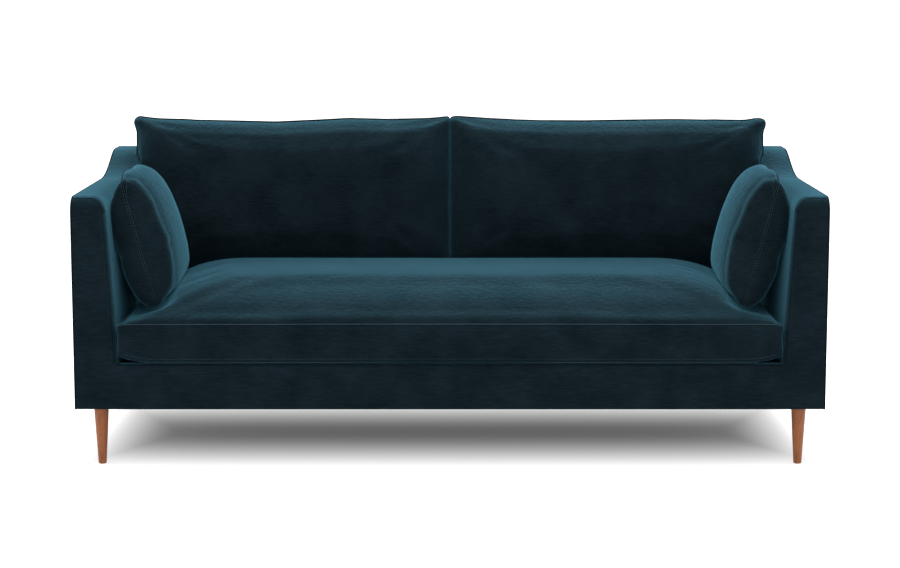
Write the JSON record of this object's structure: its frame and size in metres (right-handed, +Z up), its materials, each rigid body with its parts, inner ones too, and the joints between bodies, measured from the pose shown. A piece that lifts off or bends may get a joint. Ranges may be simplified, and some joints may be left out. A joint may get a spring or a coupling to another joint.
{
  "type": "sofa",
  "caption": "Velvet sofa with slim arms that sweep up to the back, a crowned bench seat, loose back cushions, arm pillows and tapered turned legs, for sitting side by side.",
  "frame": {"origin": "on the floor, midway between the arms and midway between front and back", "axes": "+X along the sofa's length, to the right seen from the front; +Y from front to back; +Z up"},
  "size_m": [2, 0.9, 0.883],
  "materials": {
    "velvet": "deep teal pile velvet, matt with a soft sheen",
    "piping": "self piping in the same velvet",
    "decking": "plain woven platform cloth",
    "cambric": "thin black dust cloth",
    "webbing": "woven jute webbing",
    "hardwood": "plain sawn beech",
    "walnut": "oiled, orange-brown with a fine grain",
    "steel": "zinc-plated"
  },
  "bodies": {
    "frame": {"arm_cover_left": "velvet", "arm_welt_left": "piping", "arm_cover_right": "velvet", "arm_welt_right": "piping", "back_cover": "velvet", "front_rail_cover": "velvet", "seat_deck": "decking", "dust_cover": "cambric", "front_rail": "hardwood", "back_rail": "hardwood", "side_rail_left": "hardwood", "side_rail_right": "hardwood", "seat_stretcher": "hardwood", "arm_post_front_left": "hardwood", "arm_post_front_right": "hardwood", "arm_post_back_left": "hardwood", "arm_post_back_right": "hardwood", "arm_rail_left": "hardwood", "arm_rail_right": "hardwood", "back_top_rail": "hardwood", "back_lower_rail": "hardwood", "back_stile_left": "hardwood", "back_stile_right": "hardwood", "seat_web_cross_1": "webbing", "seat_web_cross_2": "webbing", "seat_web_cross_3": "webbing", "seat_web_cross_4": "webbing", "seat_web_cross_5": "webbing", "seat_web_cross_6": "webbing", "seat_web_cross_7": "webbing", "seat_web_cross_8": "webbing", "seat_web_cross_9": "webbing", "seat_web_cross_10": "webbing", "seat_web_long_1": "webbing", "seat_web_long_2": "webbing", "seat_web_long_3": "webbing", "back_web_1": "webbing", "back_web_2": "webbing", "back_web_3": "webbing", "leg_front_left": "walnut", "leg_plate_front_left": "steel", "leg_bolt_front_left": "steel", "corner_block_front_left": "hardwood", "leg_front_right": "walnut", "leg_plate_front_right": "steel", "leg_bolt_front_right": "steel", "corner_block_front_right": "hardwood", "leg_back_left": "walnut", "leg_plate_back_left": "steel", "leg_bolt_back_left": "steel", "corner_block_back_left": "hardwood", "leg_back_right": "walnut", "leg_plate_back_right": "steel", "leg_bolt_back_right": "steel", "corner_block_back_right": "hardwood"},
    "seat": {"seat_cushion": "velvet"},
    "back_left": {"back_cushion_left": "velvet"},
    "back_right": {"back_cushion_right": "velvet"},
    "pillow_left": {"arm_pillow_left": "velvet"},
    "pillow_right": {"arm_pillow_right": "velvet"}
  },
  "joints": [
    {"name": "seat_lift", "type": "slide", "parent": "frame", "child": "seat", "axis": [0, 0, 1], "range_m": [0, 0.55]},
    {"name": "back_left_lift", "type": "slide", "parent": "seat", "child": "back_left", "axis": [0, 0, 1], "range_m": [0, 0.45]},
    {"name": "back_right_lift", "type": "slide", "parent": "seat", "child": "back_right", "axis": [0, 0, 1], "range_m": [0, 0.45]},
    {"name": "pillow_left_lift", "type": "slide", "parent": "seat", "child": "pillow_left", "axis": [0, 0, 1], "range_m": [0, 0.4]},
    {"name": "pillow_right_lift", "type": "slide", "parent": "seat", "child": "pillow_right", "axis": [0, 0, 1], "range_m": [0, 0.4]}
  ]
}
